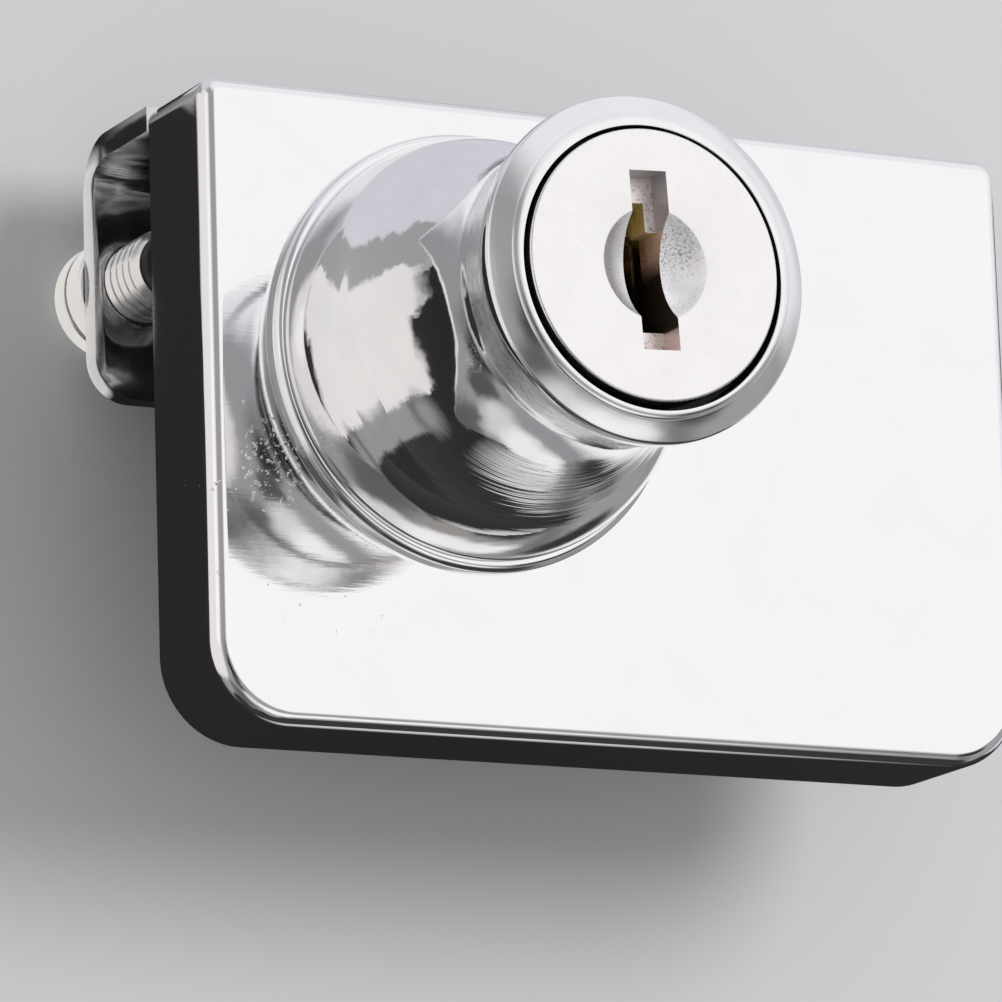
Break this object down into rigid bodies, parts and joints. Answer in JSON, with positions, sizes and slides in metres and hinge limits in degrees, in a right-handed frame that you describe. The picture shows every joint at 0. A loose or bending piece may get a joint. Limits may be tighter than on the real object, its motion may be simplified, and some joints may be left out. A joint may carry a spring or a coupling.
{
  "type": "glass cabinet door lock",
  "caption": "Keyed lock that clamps over the edge of a glass door: bell-shaped cylinder knob on a flat case, a sliding bolt inside and a bent bracket with clamp screws behind.",
  "frame": {"origin": "on the soft pad's face that the glass lies against, midway between the two clamp screws", "axes": "+X along the glass edge, to the right seen from the front; +Y out past the glass edge, the way the bolt moves; +Z out of the knob, along the plug's axis"},
  "size_m": [0.0436, 0.0305, 0.0347],
  "materials": {
    "chrome_case": "bright chrome plating on die-cast zinc",
    "satin_plug": "sand-blasted nickel plating",
    "wafer_brass": "plain stamped brass",
    "spring_wire": "plain wire",
    "plated_sheet": "bright plated bent sheet steel",
    "plated_steel": "bright zinc plating",
    "bolt_zinc": "plain die-cast zinc",
    "soft_black": "matt black rubber"
  },
  "bodies": {
    "case": {"case": "chrome_case", "knob_housing": "chrome_case", "housing_screws": "plated_steel", "clamp_bracket": "plated_sheet", "cover_screws": "plated_steel", "glass_pad": "soft_black"},
    "plug": {"plug": "satin_plug", "drive_cam": "plated_steel", "cam_screw": "plated_steel", "wafer_spring_1": "spring_wire", "wafer_spring_2": "spring_wire", "wafer_spring_3": "spring_wire", "wafer_spring_4": "spring_wire", "wafer_spring_5": "spring_wire"},
    "bolt": {"bolt": "bolt_zinc"},
    "wafer_1": {"wafer_1": "wafer_brass"},
    "wafer_2": {"wafer_2": "wafer_brass"},
    "wafer_3": {"wafer_3": "wafer_brass"},
    "wafer_4": {"wafer_4": "wafer_brass"},
    "wafer_5": {"wafer_5": "wafer_brass"},
    "screw_tip_left": {"screw_tip_left": "soft_black"},
    "clamp_screw_left": {"clamp_screw_left": "plated_steel"},
    "screw_tip_right": {"screw_tip_right": "soft_black"},
    "clamp_screw_right": {"clamp_screw_right": "plated_steel"}
  },
  "joints": [
    {"name": "plug_turn", "type": "hinge", "parent": "case", "child": "plug", "pos_m": [-0.00785, -0.0054, 0], "axis": [0, 0, -1], "range_deg": [0, 90]},
    {"name": "bolt_slide", "type": "slide", "parent": "case", "child": "bolt", "axis": [0, 1, 0], "range_m": [0, 0.00622]},
    {"name": "wafer_1_slide", "type": "slide", "parent": "plug", "child": "wafer_1", "axis": [0, 1, 0], "range_m": [0, 0.0006], "deforming": ["wafer_spring_1"]},
    {"name": "wafer_2_slide", "type": "slide", "parent": "plug", "child": "wafer_2", "axis": [0, 1, 0], "range_m": [0, 0.0006], "deforming": ["wafer_spring_2"]},
    {"name": "wafer_3_slide", "type": "slide", "parent": "plug", "child": "wafer_3", "axis": [0, 1, 0], "range_m": [0, 0.0006], "deforming": ["wafer_spring_3"]},
    {"name": "wafer_4_slide", "type": "slide", "parent": "plug", "child": "wafer_4", "axis": [0, 1, 0], "range_m": [0, 0.0006], "deforming": ["wafer_spring_4"]},
    {"name": "wafer_5_slide", "type": "slide", "parent": "plug", "child": "wafer_5", "axis": [0, 1, 0], "range_m": [0, 0.0006], "deforming": ["wafer_spring_5"]},
    {"name": "clamp_left_travel", "type": "slide", "parent": "case", "child": "screw_tip_left", "axis": [0, 0, 1], "range_m": [-0.0036, 0]},
    {"name": "clamp_left_turn", "type": "hinge", "parent": "screw_tip_left", "child": "clamp_screw_left", "pos_m": [-0.019, 0, 0], "axis": [0, 0, 1], "range_deg": [-1851.6, 0]},
    {"name": "clamp_right_travel", "type": "slide", "parent": "case", "child": "screw_tip_right", "axis": [0, 0, 1], "range_m": [-0.0036, 0]},
    {"name": "clamp_right_turn", "type": "hinge", "parent": "screw_tip_right", "child": "clamp_screw_right", "pos_m": [0.019, 0, 0], "axis": [0, 0, 1], "range_deg": [-1851.6, 0]}
  ],
  "couplings": [
    {"joint": "bolt_slide", "follows": "plug_turn", "m_per_rad": 0.0039614},
    {"joint": "clamp_left_turn", "follows": "clamp_left_travel", "rad_per_m": 8976},
    {"joint": "clamp_right_turn", "follows": "clamp_right_travel", "rad_per_m": 8976}
  ]
}
